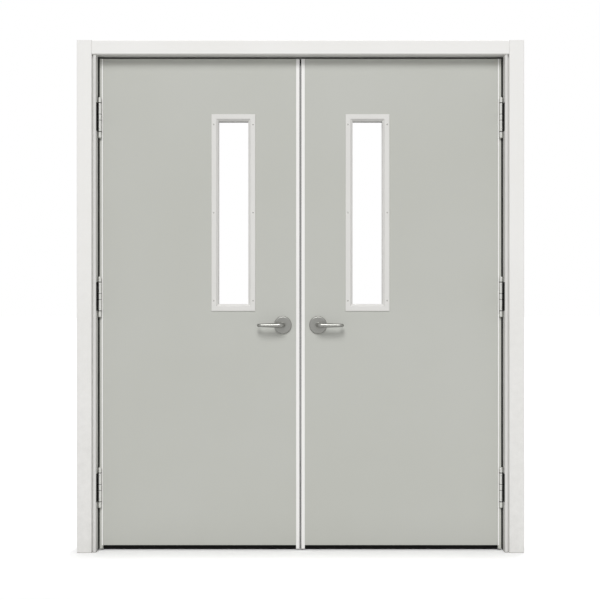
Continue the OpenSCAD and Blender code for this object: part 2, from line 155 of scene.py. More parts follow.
def placed_coords(tree: bpy.types.NodeTree, stretch: tuple[float, float, float]) -> bpy.types.NodeSocket:
    """Object coordinates through a Mapping node.

    Args:
        tree: node tree.
        stretch: scale of the pattern space along x, y and z.

    Returns:
        The mapped vector socket.
    """
    coords = add_node(tree, "ShaderNodeTexCoord")
    mapping = add_node(
        tree, "ShaderNodeMapping", values={"Scale": stretch}, links={"Vector": coords.outputs["Object"]}
    )
    return mapping.outputs["Vector"]


def per_mm(size_mm: float) -> float:
    """Noise scale whose features are about size_mm wide in object space of metres."""
    return 1000.0 / size_mm


@dataclass(frozen=True)
class PowderCoat:
    """Polyester powder coat on folded steel, sprayed and baked: satin, with a faint orange peel.

    The peel breaks up reflections and a slow tone drift keeps large faces from looking printed.
    Towards the floor the coat darkens in patches: dust at the default height, painted shade where
    the height is set tall. A narrow band at the floor line is painted contact shade.
    """

    name: str
    colour: str
    drift_colour: str
    roughness: float = 0.42
    peel_mm: float = 2.2
    peel_height_mm: float = 0.012
    drift_mm: float = 420.0
    edge_mm: float = 0.8
    # Darkening towards the floor: patchy dust up to 0.16 m; set taller, as on the frame, it is painted
    # shade. The foot band is painted contact shade at the floor line.
    scuff_height_m: float = 0.16
    dust_and_shade_share: float = 0.10
    foot_shade_height_m: float = 0.006
    foot_shade_share: float = 0.75

    def build(self) -> bpy.types.Material:
        """Makes the material.

        Returns:
            The finished material.
        """
        material, tree, out = new_tree(self.name)
        coords = placed_coords(tree, (1.0, 1.0, 1.0))
        drift = add_node(
            tree, "ShaderNodeTexNoise", values={"Scale": per_mm(self.drift_mm), "Detail": 3.0},
            links={"Vector": coords},
        )
        tone = add_node(
            tree, "ShaderNodeMix", {"data_type": "RGBA"},
            {"A": linear(self.colour), "B": linear(self.drift_colour)},
        )
        soft = add_node(
            tree, "ShaderNodeMapRange", values={"From Min": 0.35, "From Max": 0.65, "To Max": 0.7},
            links={"Value": drift.outputs["Fac"]},
        )
        tree.links.new(soft.outputs["Result"], tone.inputs["Factor"])
        split = add_node(tree, "ShaderNodeSeparateXYZ", links={"Vector": coords})
        # Patchy darkening towards the floor: dust, and painted shade where the height is set tall.
        low = add_node(
            tree, "ShaderNodeMapRange",
            values={"From Max": self.scuff_height_m, "To Min": self.dust_and_shade_share, "To Max": 0.0},
            links={"Value": split.outputs["Z"]},
        )
        patch_noise = add_node(
            tree, "ShaderNodeTexNoise", values={"Scale": per_mm(28.0), "Detail": 6.0, "Roughness": 0.7},
            links={"Vector": coords},
        )
        dust_and_low_shade = add_node(
            tree, "ShaderNodeMath", {"operation": "MULTIPLY"},
            links={0: low.outputs["Result"], 1: patch_noise.outputs["Fac"]},
        )
        # Narrow band of painted contact shade at the floor line.
        foot_shade = add_node(
            tree, "ShaderNodeMapRange",
            values={"From Max": self.foot_shade_height_m, "To Min": self.foot_shade_share, "To Max": 0.0},
            links={"Value": split.outputs["Z"]},
        )
        dust_and_shade_factor = add_node(
            tree, "ShaderNodeMath", {"operation": "MAXIMUM"},
            links={0: dust_and_low_shade.outputs["Value"], 1: foot_shade.outputs["Result"]},
        )
        # 8E8C86 is the colour of the dust and of the painted shade.
        dusted_and_shaded = add_node(
            tree, "ShaderNodeMix", {"data_type": "RGBA"}, {"B": linear("#8E8C86")},
            {"Factor": dust_and_shade_factor.outputs["Value"], "A": tone.outputs["Result"]},
        )
        rough = add_node(
            tree, "ShaderNodeMapRange",
            values={"To Min": self.roughness - 0.05, "To Max": self.roughness + 0.06},
            links={"Value": patch_noise.outputs["Fac"]},
        )
        peel = add_node(
            tree, "ShaderNodeTexNoise", values={"Scale": per_mm(self.peel_mm), "Detail": 1.5},
            links={"Vector": coords},
        )
        rounded = add_node(tree, "ShaderNodeBevel", {"samples": 4}, {"Radius": self.edge_mm * MM})
        bump = add_node(
            tree, "ShaderNodeBump", values={"Strength": 0.6, "Distance": self.peel_height_mm * MM},
            links={"Height": peel.outputs["Fac"], "Normal": rounded.outputs["Normal"]},
        )
        shader = add_node(
            tree, "ShaderNodeBsdfPrincipled", values={"IOR": 1.5, "Specular IOR Level": 0.4},
            links={
                "Base Color": dusted_and_shaded.outputs["Result"],
                "Roughness": rough.outputs["Result"],
                "Normal": bump.outputs["Normal"],
            },
        )
        tree.links.new(shader.outputs["BSDF"], out.inputs["Surface"])
        return material


@dataclass(frozen=True)
class SatinSteel:
    """Ground stainless steel: fine scratches along the grinding direction stretch the highlights."""

    name: str
    colour: str
    roughness: float = 0.30
    grit_mm: float = 0.35
    stretch: tuple[float, float, float] = (0.03, 1.0, 1.0)
    scratch_height_mm: float = 0.006

    def build(self) -> bpy.types.Material:
        """Makes the material.

        Returns:
            The finished material.
        """
        material, tree, out = new_tree(self.name)
        coords = placed_coords(tree, self.stretch)
        grain = add_node(
            tree, "ShaderNodeTexNoise", values={"Scale": per_mm(self.grit_mm), "Detail": 2.0},
            links={"Vector": coords},
        )
        rough = add_node(
            tree, "ShaderNodeMapRange",
            values={"To Min": self.roughness - 0.07, "To Max": self.roughness + 0.10},
            links={"Value": grain.outputs["Fac"]},
        )
        rounded = add_node(tree, "ShaderNodeBevel", {"samples": 4}, {"Radius": 0.4 * MM})
        bump = add_node(
            tree, "ShaderNodeBump", values={"Strength": 0.5, "Distance": self.scratch_height_mm * MM},
            links={"Height": grain.outputs["Fac"], "Normal": rounded.outputs["Normal"]},
        )
        shader = add_node(
            tree, "ShaderNodeBsdfPrincipled",
            values={"Base Color": linear(self.colour), "Metallic": 1.0, "Anisotropic": 0.35},
            links={"Roughness": rough.outputs["Result"], "Normal": bump.outputs["Normal"]},
        )
        tree.links.new(shader.outputs["BSDF"], out.inputs["Surface"])
        return material


@dataclass(frozen=True)
class MouldedRubber:
    """Extruded EPDM rubber: matt, with a fine bloom that lifts it slightly from pure black."""

    name: str
    colour: str
    bloom_colour: str
    roughness: float = 0.75
    gloss: float = 0.12

    def build(self) -> bpy.types.Material:
        """Makes the material.

        Returns:
            The finished material.
        """
        material, tree, out = new_tree(self.name)
        coords = placed_coords(tree, (1.0, 1.0, 1.0))
        bloom = add_node(
            tree, "ShaderNodeTexNoise", values={"Scale": per_mm(9.0), "Detail": 5.0, "Roughness": 0.65},
            links={"Vector": coords},
        )
        tone = add_node(
            tree, "ShaderNodeMix", {"data_type": "RGBA"},
            {"A": linear(self.colour), "B": linear(self.bloom_colour)},
            {"Factor": bloom.outputs["Fac"]},
        )
        bump = add_node(
            tree, "ShaderNodeBump", values={"Strength": 0.4, "Distance": 0.02 * MM},
            links={"Height": bloom.outputs["Fac"]},
        )
        shader = add_node(
            tree, "ShaderNodeBsdfPrincipled",
            values={"Roughness": self.roughness, "IOR": 1.52, "Specular IOR Level": self.gloss},
            links={"Base Color": tone.outputs["Result"], "Normal": bump.outputs["Normal"]},
        )
        tree.links.new(shader.outputs["BSDF"], out.inputs["Surface"])
        return material


@dataclass(frozen=True)
class FloatGlass:
    """Clear low-iron float glass: colourless face on, with sharp reflections at a slant."""

    name: str
    colour: str = "#FFFFFF"

    def build(self) -> bpy.types.Material:
        """Makes the material.

        Returns:
            The finished material.
        """
        material, tree, out = new_tree(self.name)
        coords = placed_coords(tree, (1.0, 1.0, 1.0))
        ripple = add_node(
            tree, "ShaderNodeTexNoise", values={"Scale": per_mm(180.0), "Detail": 0.0},
            links={"Vector": coords},
        )
        bump = add_node(
            tree, "ShaderNodeBump", values={"Strength": 0.05, "Distance": 0.05 * MM},
            links={"Height": ripple.outputs["Fac"]},
        )
        clear = add_node(tree, "ShaderNodeBsdfTransparent", values={"Color": linear(self.colour)})
        gloss = add_node(
            tree, "ShaderNodeBsdfPrincipled",
            values={
                "Base Color": linear(self.colour), "Roughness": 0.02, "IOR": 1.5,
                "Transmission Weight": 1.0,
            },
            links={"Normal": bump.outputs["Normal"]},
        )
        fresnel = add_node(tree, "ShaderNodeFresnel", values={"IOR": 1.5})
        side = add_node(tree, "ShaderNodeNewGeometry")
        entering = add_node(
            tree, "ShaderNodeMath", {"operation": "SUBTRACT"}, {0: 1.0}, {1: side.outputs["Backfacing"]}
        )
        share = add_node(
            tree, "ShaderNodeMath", {"operation": "MULTIPLY"},
            links={0: fresnel.outputs["Fac"], 1: entering.outputs["Value"]},
        )
        mix = add_node(
            tree, "ShaderNodeMixShader",
            links={"Fac": share.outputs["Value"], 1: clear.outputs["BSDF"], 2: gloss.outputs["BSDF"]},
        )
        tree.links.new(mix.outputs["Shader"], out.inputs["Surface"])
        return material


class Finishes:
    """All materials of the door and of its small parts."""

    def __init__(self) -> None:
        """Builds every material once."""
        # The frame's darkening runs 1.5 m up: painted shade that darkens the casings towards the floor.
        self.frame = PowderCoat(
            "powder_coat_white_steel", "#F2F1EF", "#EEEDEA", scuff_height_m=1.5, dust_and_shade_share=0.32
        ).build()
        self.liner = PowderCoat("powder_coat_white_liner", "#DDDCDA", "#D9D8D5", roughness=0.45).build()
        self.leaf = PowderCoat(
            "powder_coat_grey_steel", "#C1C2BC", "#BEBFB8", roughness=0.46, drift_mm=600.0
        ).build()
        self.stile = PowderCoat(
            "powder_coat_white_aluminium", "#F7F6F4", "#F3F2F0", roughness=0.38, peel_mm=1.8, edge_mm=0.6
        ).build()
        self.rim = PowderCoat(
            "powder_coat_pale_grey_steel", "#E2E1DE", "#DEDDDA", roughness=0.40, edge_mm=0.8
        ).build()
        self.lever = SatinSteel("satin_stainless_lever", "#8B8B87").build()
        self.rose = SatinSteel(
            "satin_stainless_rose", "#8C8C88", roughness=0.34, stretch=(0.05, 1.0, 1.0)
        ).build()
        self.hinge = SatinSteel(
            "satin_stainless_hinge", "#CFCFCB", roughness=0.33, stretch=(1.0, 1.0, 0.04)
        ).build()
        self.screw = SatinSteel("passivated_screw_steel", "#A4A49F", roughness=0.26, grit_mm=0.6).build()
        self.plate = SatinSteel("brushed_stainless_plate", "#B0B0AC", stretch=(1.0, 1.0, 0.03)).build()
        self.zinc = SatinSteel(
            "zinc_plated_steel", "#AEB2B6", roughness=0.40, stretch=(1.0, 1.0, 1.0)
        ).build()
        self.black = MouldedRubber("black_epdm_seal", "#0A0A0A", "#141413").build()
        self.grey = MouldedRubber("grey_silicone_seal", "#383735", "#403F3D", roughness=0.6).build()
        self.bead = MouldedRubber("pale_silicone_bead", "#BDBCB8", "#C8C7C3", roughness=0.6).build()
        # Near-black lining of the hinge boxes: painted shade inside the hinge slots.
        self.pocket_shade = MouldedRubber("black_moulded_polyamide", "#2A2A29", "#343432", roughness=0.55).build()
        self.glass = FloatGlass("clear_float_glass").build()


def mesh_piece(
    name: str,
    verts: np.ndarray,
    faces: np.ndarray | list[list[int]],
    material: bpy.types.Material,
    body: str,
    smooth_angle: float | None = 0.6,
) -> bpy.types.Object:
    """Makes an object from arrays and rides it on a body.

    Args:
        name: piece name.
        verts: N x 3 array of positions in metres in the row frame.
        faces: array of quads or triangles, or a list of polygons.
        material: finish.
        body: CAD body it rides on.
        smooth_angle: edge angle in radians below which faces shade smooth, or None for flat.

    Returns:
        The new object.
    """
    mesh = bpy.data.meshes.new(name)
    mesh.from_pydata(verts.tolist(), [], faces.tolist() if isinstance(faces, np.ndarray) else faces)
    mesh.validate()
    mesh.materials.append(material)
    piece = bpy.data.objects.new(name, mesh)
    bpy.context.collection.objects.link(piece)
    if smooth_angle is not None:
        mesh.polygons.foreach_set("use_smooth", np.ones(len(mesh.polygons), dtype=bool))
        mesh.set_sharp_from_angle(angle=smooth_angle)
    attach(piece, body)
    LOG.info("%s: %d faces on %s", name, len(mesh.polygons), body)
    return piece


def grid_faces(rows: int, cols: int, wrap_cols: bool, wrap_rows: bool = False) -> np.ndarray:
    """Quads of a rows x cols grid of vertices, joined round where asked.

    Args:
        rows: vertices along the first parameter.
        cols: vertices along the second parameter.
        wrap_cols: joins the last column to the first.
        wrap_rows: joins the last row to the first.

    Returns:
        Array of quads.
    """
    row_n = rows if wrap_rows else rows - 1
    col_n = cols if wrap_cols else cols - 1
    i, j = np.meshgrid(np.arange(row_n), np.arange(col_n), indexing="ij")
    i2 = (i + 1) % rows
    j2 = (j + 1) % cols
    quads = np.stack([i * cols + j, i * cols + j2, i2 * cols + j2, i2 * cols + j], axis=-1)
    return quads.reshape(-1, 4)


def lathe(
    profile: np.ndarray, segments: int, corners: np.ndarray | None = None
) -> tuple[np.ndarray, np.ndarray]:
    """Surface of revolution: a profile of radius and height turned round the z axis.

    Point (s, a) lies at (r(s) cos a, r(s) sin a, h(s)); where corners is given, the radius of a
    row is divided by cos of the angle to the nearest flat, times that row's corner share, which
    turns the circle into a hexagon.

    Args:
        profile: N x 2 array of radius and height.
        segments: number of steps round.
        corners: N array from 0, round, to 1, hexagonal.

    Returns:
        Vertices and quads.
    """
    angle = np.linspace(0.0, 2 * np.pi, segments, endpoint=False)
    radius = np.repeat(profile[:, :1], segments, axis=1)
    if corners is not None:
        off = np.mod(angle, np.pi / 3) - np.pi / 6
        hexed = math.cos(math.pi / 6) / np.cos(off)
        radius = radius * (1 + corners[:, None] * (hexed[None, :] - 1))
    height = np.repeat(profile[:, 1:], segments, axis=1)
    verts = np.stack([radius * np.cos(angle), radius * np.sin(angle), height], axis=-1)
    return verts.reshape(-1, 3), grid_faces(len(profile), segments, wrap_cols=True)


def aim(verts: np.ndarray, axis: tuple[float, float, float], at: np.ndarray) -> np.ndarray:
    """Turns points from the z axis to another axis and moves them.

    Args:
        verts: N x 3 array.
        axis: where +z goes.
        at: new place of the origin.

    Returns:
        Turned and moved points.
    """
    turn = np.array(Vector((0, 0, 1)).rotation_difference(Vector(axis)).to_matrix())
    return verts @ turn.T + np.asarray(at)


def stack_copies(
    verts: np.ndarray, faces: np.ndarray, offsets: np.ndarray
) -> tuple[np.ndarray, np.ndarray]:
    """Copies one mesh to several places as one mesh.

    Args:
        verts: N x 3 array.
        faces: M x K array.
        offsets: P x 3 array of places.

    Returns:
        Joined vertices and faces.
    """
    all_verts = (verts[None, :, :] + offsets[:, None, :]).reshape(-1, 3)
    shifts = np.arange(len(offsets)) * len(verts)
    all_faces = (faces[None, :, :] + shifts[:, None, None]).reshape(-1, faces.shape[1])
    return all_verts, all_faces


def join(parts: list[tuple[np.ndarray, np.ndarray | list[list[int]]]]) -> tuple[np.ndarray, list[list[int]]]:
    """Joins meshes to one; each part's faces are shifted by the number of vertices before it.

    Args:
        parts: vertices and faces of each part.

    Returns:
        Joined vertices and faces.
    """
    starts = np.cumsum([0] + [len(part[0]) for part in parts[:-1]]).tolist()
    faces = [[int(v) + start for v in face] for part, start in zip(parts, starts) for face in part[1]]
    return np.concatenate([part[0] for part in parts]), faces


def socket_screw(head_r: float, dome: float, socket_r: float, depth: float) -> tuple[np.ndarray, np.ndarray]:
    """Low domed screw head with a hexagon socket, standing on z = 0.

    The profile runs from under the rim over a quarter-ellipse dome to the socket edge, down its
    wall and to the middle of its floor.

    Args:
        head_r: radius of the head.
        dome: height of the dome.
        socket_r: corner radius of the hexagon.
        depth: depth of the socket.

    Returns:
        Vertices and quads.
    """
    t = np.linspace(0.0, np.pi / 2, 7)
    inner = socket_r * 1.25
    dome_r = inner + (head_r - inner) * np.cos(t)
    dome_h = dome * np.sin(t)
    profile = np.concatenate(
        [
            [[head_r, -0.2 * dome]],
            np.stack([dome_r, dome_h], axis=1),
            [[socket_r, dome * 0.98], [socket_r, dome - depth], [socket_r * 0.5, dome - depth],
             [1e-5, dome - depth * 1.1]],
        ]
    )
    corners = np.concatenate([np.zeros(8), [1.0, 1.0, 1.0, 0.0]])
    return lathe(profile, 24, corners)


def rect_loop(
    centre: tuple[float, float, float],
    width: float,
    height: float,
    profile: np.ndarray,
    face: Face,
) -> tuple[np.ndarray, np.ndarray]:
    """Closed profile carried round a rectangle with mitred corners.

    Each profile point (u, v) moves the rectangle's sides outward by u and into the leaf by v.

    Args:
        centre: middle of the rectangle on the reference plane.
        width: rectangle width at u = 0.
        height: rectangle height at u = 0.
        profile: N x 2 closed loop of (u, v).
        face: face of the leaf the loop belongs to.

    Returns:
        Vertices and quads.
    """
    sx = np.array([-1.0, 1.0, 1.0, -1.0])
    sz = np.array([-1.0, -1.0, 1.0, 1.0])
    u = profile[:, :1]
    v = profile[:, 1:]
    x = centre[0] + sx[None, :] * (width / 2 + u)
    z = centre[2] + sz[None, :] * (height / 2 + u)
    y = np.repeat(centre[1] - face.value * v, 4, axis=1)
    verts = np.stack([x, y, z], axis=-1).reshape(-1, 3)
    quads = grid_faces(len(profile), 4, wrap_cols=True, wrap_rows=True)
    return verts, quads


def uprights(loop: np.ndarray, spans: list[tuple[float, float]]) -> tuple[np.ndarray, list[list[int]]]:
    """Closed upright bars: the loop (x, y) carried from z0 to z1 for each span, with flat ends.

    Args:
        loop: N x 2 closed outline in plan.
        spans: pairs of lower and upper height.

    Returns:
        Vertices and faces, the ends as one polygon each.
    """
    n = len(loop)
    ring = np.arange(n)
    walls = np.stack([ring, (ring + 1) % n, (ring + 1) % n + n, ring + n], axis=-1)
    one = walls.tolist() + [ring[::-1].tolist(), (ring + n).tolist()]
    bars = [np.concatenate([np.column_stack([loop, np.full(n, z)]) for z in span]) for span in spans]
    return join([(bar, one) for bar in bars])


def ring_band(inner: float, outer: float, low: float, high: float, crown: float) -> np.ndarray:
    """Closed section of a flat ring whose outer wall is a half-ellipse of the given crown.

    Args:
        inner: bore radius.
        outer: radius at the upper and lower rim.
        low: lower height.
        high: upper height.
        crown: how far the middle of the outer wall stands out.

    Returns:
        N x 2 loop of radius and height.
    """
    t = np.linspace(-np.pi / 2, np.pi / 2, 7)
    middle = (low + high) / 2
    wall = np.stack([outer + crown * np.cos(t), middle + (high - low) / 2 * np.sin(t)], axis=1)
    return np.concatenate([[[inner, low]], wall, [[inner, high]]])


def outward(piece: bpy.types.Object) -> None:
    """Recalculates the normals of a closed piece so that they point outwards."""
    work = bmesh.new()
    work.from_mesh(piece.data)
    bmesh.ops.remove_doubles(work, verts=work.verts, dist=1e-7)
    bmesh.ops.recalc_face_normals(work, faces=work.faces)
    work.to_mesh(piece.data)
    work.free()


def dress(node: bpy.types.Object, material: bpy.types.Material) -> None:
    """Gives a CAD node its finish on every material slot."""
    if not node.data.materials:
        node.data.materials.append(material)
    for index in range(len(node.data.materials)):
        node.data.materials[index] = material
    LOG.info("%s: %s", node.name, material.name)


def centre_x() -> float:
    """Middle of the door opening in the row frame."""
    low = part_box("casing_front_left")[0][0]
    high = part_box("casing_front_right")[1][0]
    return (low + high) / 2


@dataclass
class SteelFrame:
    """Folded frame: liners, casings, stop seal, floor anchors, and dark rebate strips and hinge boxes that
    paint shade.
    """

    finishes: Finishes
    liners: tuple[str, ...] = ("jamb_left", "jamb_right", "head")
    casings: tuple[str, ...] = (
        "casing_front_left", "casing_front_right", "casing_front_head",
        "casing_rear_left", "casing_rear_right", "casing_rear_head",
    )
    strip_t_mm: float = 1.0
    strip_front_mm: float = 52.0
    strip_back_mm: float = 97.5
    strip_foot_mm: float = 3.0
    box_wall_mm: float = 1.0
    box_deep_mm: float = 10.4
    box_front_mm: float = 11.0
    box_back_mm: float = 43.4
    box_half_mm: float = 60.0
    slot_half_mm: float = 62.0

    def build(self, cad: dict[str, bpy.types.Object]) -> None:
        """Dresses the frame and adds strips and boxes.

        Args:
            cad: CAD nodes by name.
        """
        for name in self.liners:
            dress(cad[name], self.finishes.liner)
        for name in self.casings:
            dress(cad[name], self.finishes.frame)
        dress(cad["frame_seal"], self.finishes.black)
        for side in Side:
            dress(cad[f"floor_anchor_{side.word}"], self.finishes.zinc)
            heights = [self.hinge_height(side, level) for level in reversed(LEVELS)]
            reveal = self.reveal_x(side)
            self.rebate_shade_strip(side, reveal, heights)
            self.hinge_boxes(side, reveal, heights)

    @staticmethod
    def hinge_height(side: Side, level: str) -> float:
        """Height of the middle of a hinge."""
        low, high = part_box(f"hinge_leaf_{side.word}_{level}")
        return (low[2] + high[2]) / 2

    @staticmethod
    def reveal_x(side: Side) -> float:
        """Place of the reveal: 2 mm inside the floor anchor's inner face, the liner's thickness."""
        low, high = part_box(f"floor_anchor_{side.word}")
        return high[0] + 2.0 * MM if side is Side.LEFT else low[0] - 2.0 * MM

    def rebate_shade_strip(self, side: Side, reveal: float, heights: list[float]) -> None:
        """Black strip on the reveal beside the leaf edge, in lengths between the hinges: painted shade in
        the gap.

        Args:
            side: half of the frame.
            reveal: x of the reveal.
            heights: hinge heights from the lowest up.
        """
        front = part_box("casing_front_left")[0][1]
        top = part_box(f"jamb_{side.word}")[1][2]
        inward = -side.value
        x0 = reveal - 0.1 * MM * inward
        x1 = reveal + self.strip_t_mm * MM * inward
        y0 = front + self.strip_front_mm * MM
        y1 = front + self.strip_back_mm * MM
        ease = 0.4 * MM
        loop = np.array([[x0, y0], [x1 - ease * inward, y0], [x1, y0 + ease], [x1, y1 - ease],
                         [x1 - ease * inward, y1], [x0, y1]])
        half = self.slot_half_mm * MM
        starts = [self.strip_foot_mm * MM] + [z + half for z in heights]
        ends = [z - half for z in heights] + [top - 1.0 * MM]
        verts, faces = uprights(loop, list(zip(starts, ends)))
        # Black sheet that paints the shade in the gap between leaf edge and reveal.
        name = f"rebate_strips_{side.word}"
        outward(mesh_piece(name, verts, faces, self.finishes.black, "frame", None))

    def hinge_boxes(self, side: Side, reveal: float, heights: list[float]) -> None:
        """Moulded boxes that line the hinge slots: three walls in plan and two end plates; their near-black
        paints the shade in the slots.

        Args:
            side: half of the frame.
            reveal: x of the reveal.
            heights: hinge heights.
        """
        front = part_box("casing_front_left")[0][1]
        inward = -side.value
        wall = self.box_wall_mm * MM
        mouth = reveal - 0.2 * MM * inward
        back = reveal - self.box_deep_mm * MM * inward
        y0 = front + self.box_front_mm * MM
        y1 = front + self.box_back_mm * MM
        step = wall * inward
        channel = np.array([[mouth, y0], [mouth, y0 + wall], [back + step, y0 + wall],
                            [back + step, y1 - wall], [mouth, y1 - wall], [mouth, y1],
                            [back, y1], [back, y0]])
        plate = np.array([[mouth, y0 + wall], [back + step, y0 + wall],
                          [back + step, y1 - wall], [mouth, y1 - wall]])
        half = self.box_half_mm * MM
        ends = [(z + s * half - (wall if s > 0 else 0), z + s * half + (wall if s < 0 else 0))
                for z in heights for s in (-1, 1)]
        walls = uprights(channel, [(z - half, z + half) for z in heights])
        verts, faces = join([walls, uprights(plate, ends)])
        # Their near-black paints the shade inside the hinge slots.
        name = f"hinge_boxes_{side.word}"
        outward(mesh_piece(name, verts, faces, self.finishes.pocket_shade, "frame", None))


@dataclass
class Hinge:
    """Three-knuckle hinge: set screws in the outer knuckles, black bearing washers whose dark paints the
    joint shade, and plate screws.
    """

    finishes: Finishes
    side: Side
    level: str
    set_screw_r_mm: float = 1.7
    set_screw_out_mm: float = 50.0
    barrel_r_mm: float = 8.5
    bore_r_mm: float = 5.15
    middle_half_mm: float = 13.3
    washer_mm: float = 1.2
    washer_lip_mm: float = 1.9
    outer_half_mm: float = 59.3
    cap_ring_mm: float = 3.2
    ring_crown_mm: float = 0.15
    plate_screw_r_mm: float = 4.2
    plate_screw_set_mm: float = 20.0
    plate_screw_across_mm: float = 9.0
    plate_screw_end_mm: float = 44.0
    plate_screw_mid_mm: float = 16.0

    def build(self, cad: dict[str, bpy.types.Object]) -> None:
        """Dresses both halves and adds the small parts.

        Args:
            cad: CAD nodes by name.
        """
        word = self.side.word
        fixed = f"hinge_frame_{word}_{self.level}"
        moving = f"hinge_leaf_{word}_{self.level}"
        dress(cad[fixed], self.finishes.hinge)
        dress(cad[moving], self.finishes.hinge)
        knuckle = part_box(fixed)
        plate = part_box(moving)
        barrel_r = self.barrel_r_mm * MM
        axis_x = (knuckle[1][0] - barrel_r) if self.side is Side.LEFT else (knuckle[0][0] + barrel_r)
        axis_y = knuckle[0][1] + barrel_r
        mid_z = (plate[0][2] + plate[1][2]) / 2
        self.set_screws(axis_x, axis_y, mid_z, barrel_r)
        self.rings(axis_x, axis_y, mid_z)
        self.plate_screws(plate, mid_z)

    def rings(self, x: float, y: float, z: float) -> None:
        """Bearing washers between the knuckles and rings under the caps, in black that paints the joint
        shade.

        Args:
            x: place of the hinge axis.
            y: place of the hinge axis.
            z: height of the middle of the hinge.
        """
        joint = self.middle_half_mm - self.washer_mm / 2
        lip = self.washer_lip_mm / 2
        outer = self.outer_half_mm
        radius = self.barrel_r_mm
        bands = (
            (joint - lip, joint + lip, radius - 0.5, radius),
            (outer, outer + self.cap_ring_mm, self.bore_r_mm, radius - 0.4),
        )
        parts = []
        for low, high, bore, rim in bands:
            for sign in (-1, 1):
                low_z, high_z = sorted((sign * low, sign * high))
                loop = ring_band(bore, rim, low_z, high_z, self.ring_crown_mm) * MM
                verts, _ = lathe(loop, ROUND_STEPS)
                faces = grid_faces(len(loop), ROUND_STEPS, wrap_cols=True, wrap_rows=True)
                parts.append((verts + np.array([x, y, z]), faces))
        # Black washers and cap rings paint the shade in the knuckle joints.
        verts, faces = join(parts)
        name = f"hinge_washers_{self.side.word}_{self.level}"
        outward(mesh_piece(name, verts, faces, self.finishes.black, "frame"))

    def set_screws(self, x: float, y: float, z: float, radius: float) -> None:
        """Hexagon socket set screws that pin the outer knuckles, seen from the front."""
        verts, faces = socket_screw(
            self.set_screw_r_mm * 1.3 * MM, 0.25 * MM, self.set_screw_r_mm * 0.75 * MM, 1.2 * MM
        )
        verts = aim(verts, (0, -1, 0), (x, y - radius, z))
        offsets = np.array([[0, 0, s * self.set_screw_out_mm * MM] for s in (-1, 1)])
        verts, faces = stack_copies(verts, faces, offsets)
        name = f"hinge_set_screws_{self.side.word}_{self.level}"
        mesh_piece(name, verts, faces, self.finishes.screw, "frame")

    def plate_screws(self, plate: tuple, mid_z: float) -> None:
        """Countersunk screws that hold the leaf plate to the stile, seen when the leaf is open."""
        inward = -self.side.value
        x = plate[0][0] if self.side is Side.LEFT else plate[1][0]
        verts, faces = socket_screw(self.plate_screw_r_mm * MM, 0.3 * MM, 1.7 * MM, 1.5 * MM)
        y_mid = plate[1][1] - self.plate_screw_set_mm * MM
        verts = aim(verts, (-inward, 0, 0), (x, y_mid, mid_z))
        across, end, mid = self.plate_screw_across_mm, self.plate_screw_end_mm, self.plate_screw_mid_mm
        spots = [(dy, dz) for dy in (-across, across) for dz in (-end, end)]
        spots += [(across, -mid), (across, mid)]
        offsets = np.array([[0, dy * MM, dz * MM] for dy, dz in spots])
        verts, faces = stack_copies(verts, faces, offsets)
        name = f"hinge_plate_screws_{self.side.word}_{self.level}"
        mesh_piece(name, verts, faces, self.finishes.screw, f"leaf_{self.side.word}")


